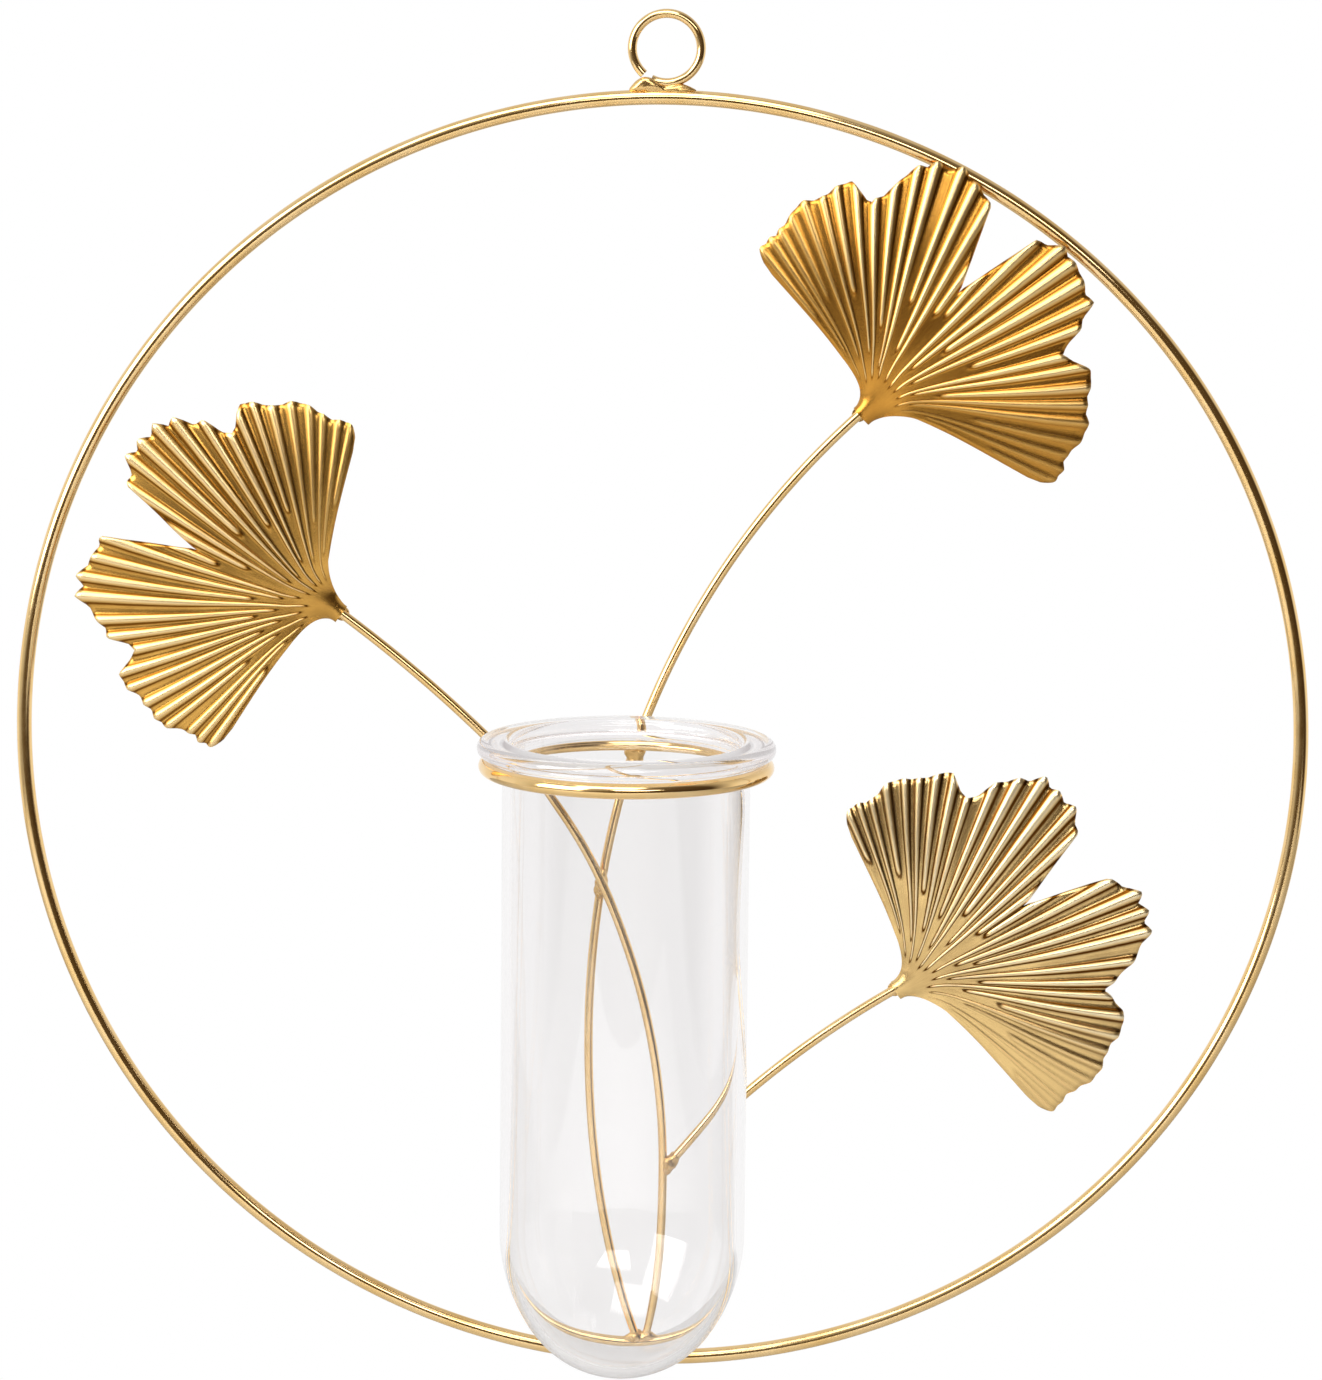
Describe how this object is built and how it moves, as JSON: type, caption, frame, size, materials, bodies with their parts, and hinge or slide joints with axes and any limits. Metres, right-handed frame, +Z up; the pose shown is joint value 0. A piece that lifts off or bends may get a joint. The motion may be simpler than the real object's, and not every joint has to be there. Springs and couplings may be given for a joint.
{
  "type": "hanging wall vase",
  "caption": "Gold wire hoop that hangs on a wall by a small eye, with a sprig of pressed, pleated ginkgo leaves and a clear glass tube vase that lifts out of a wire ring.",
  "frame": {"origin": "middle of the hanging eye's hole", "axes": "+X to the viewer's right along the wall, +Y into the wall, +Z up"},
  "size_m": [0.3, 0.0717, 0.3182],
  "materials": {
    "gold_wire": "polished brass-gold plating on iron wire",
    "gold_weld": "brass-gold plating on brazed beads",
    "gold_leaf": "satin brass-gold plating on pressed iron sheet",
    "clear_glass": "clear, fire polished"
  },
  "bodies": {
    "frame": {"hoop": "gold_wire", "hanging_eye": "gold_wire", "eye_weld": "gold_weld", "stem_upper": "gold_wire", "stem_left": "gold_wire", "stem_lower": "gold_wire", "foot_weld": "gold_weld", "crossing_weld": "gold_weld", "branch_weld": "gold_weld", "holder_ring": "gold_wire", "holder_weld": "gold_weld", "leaf_upper": "gold_leaf", "leaf_left": "gold_leaf", "leaf_lower": "gold_leaf", "leaf_upper_solder": "gold_weld", "leaf_left_solder": "gold_weld", "leaf_lower_solder": "gold_weld", "leaf_tack_weld": "gold_weld"},
    "tube": {"glass_tube": "clear_glass"}
  },
  "joints": [
    {"name": "tube_lift", "type": "slide", "parent": "frame", "child": "tube", "axis": [0, 0, 1], "range_m": [0, 0.145]}
  ]
}
